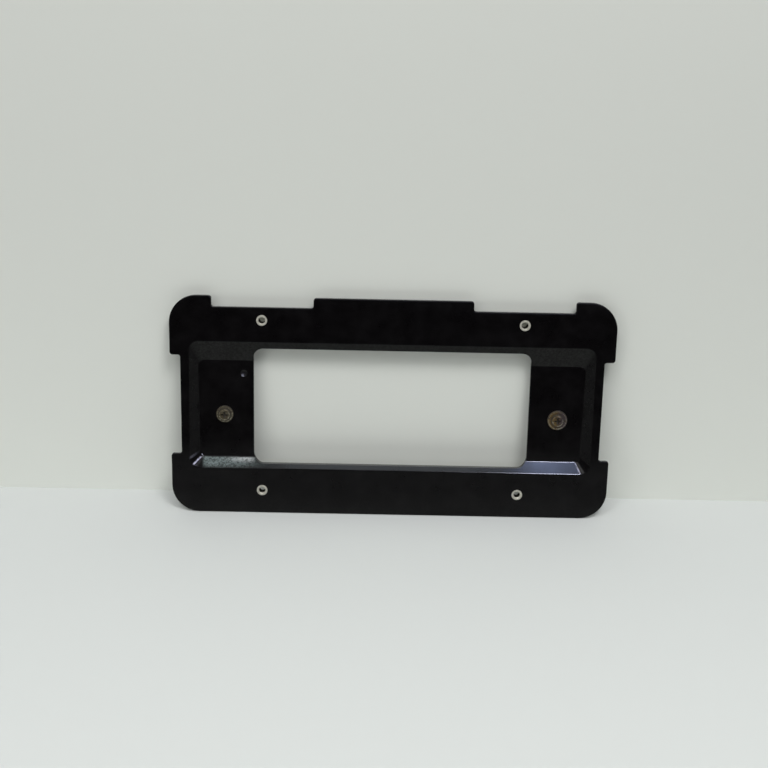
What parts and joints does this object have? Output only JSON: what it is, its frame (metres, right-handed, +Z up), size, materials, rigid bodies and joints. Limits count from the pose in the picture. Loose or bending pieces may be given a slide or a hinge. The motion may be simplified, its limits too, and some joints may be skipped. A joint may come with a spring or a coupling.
{
  "type": "number plate holder",
  "caption": "Moulded number plate holder with eared flange, dished recess and centre window, threaded inserts for the plate and captive screws for the vehicle.",
  "frame": {"origin": "centre of the plate screw pattern, on the flat face that the number plate bolts to", "axes": "-Y is the front, towards the number plate; +Z is up as fixed on the vehicle; +X runs to the right seen from the front"},
  "size_m": [0.303, 0.0183, 0.1534],
  "materials": {
    "black_plastic": "moulded satin black, scuffed and dusty",
    "insert_metal": "bright zinc plate",
    "screw_metal": "weathered yellow passivated zinc"
  },
  "bodies": {
    "root": {"holder": "black_plastic", "threaded_inserts": "insert_metal", "left_mounting_screw": "screw_metal", "right_mounting_screw": "screw_metal"}
  },
  "joints": []
}
